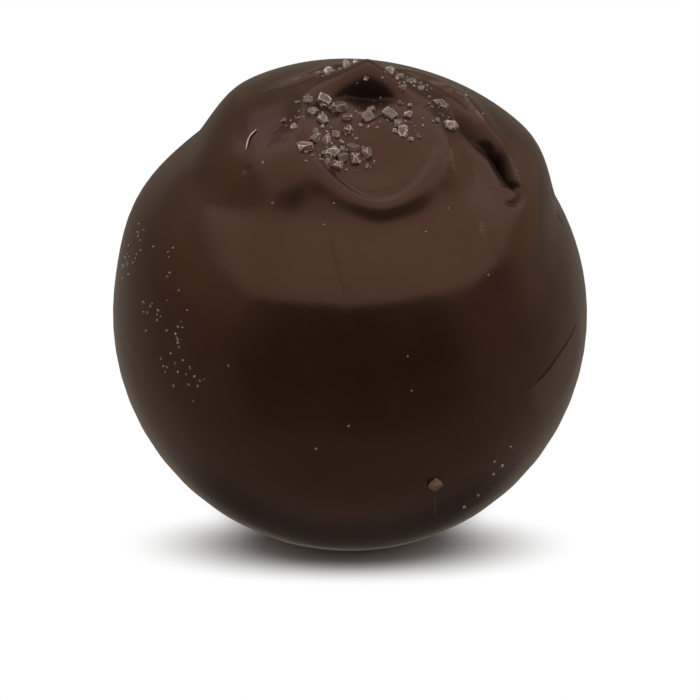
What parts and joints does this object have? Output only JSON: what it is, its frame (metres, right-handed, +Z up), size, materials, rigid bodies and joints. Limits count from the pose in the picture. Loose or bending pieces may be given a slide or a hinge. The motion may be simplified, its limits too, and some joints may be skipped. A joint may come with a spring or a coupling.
{
  "type": "chocolate praline",
  "caption": "Round hand-dipped chocolate praline with a swirled top, a folded edge and coarse salt, on a small flat foot.",
  "frame": {"origin": "middle of the flat foot that the praline rests on", "axes": "+Z up, -Y the front where the lip of the swirl shows, +X to the right with the fold in the swirl"},
  "size_m": [0.03, 0.03, 0.0306],
  "materials": {
    "milk_chocolate": "satin, hand-dipped",
    "salt": "translucent crystals with frosted edges"
  },
  "bodies": {
    "root": {"praline": "milk_chocolate"}
  },
  "joints": []
}
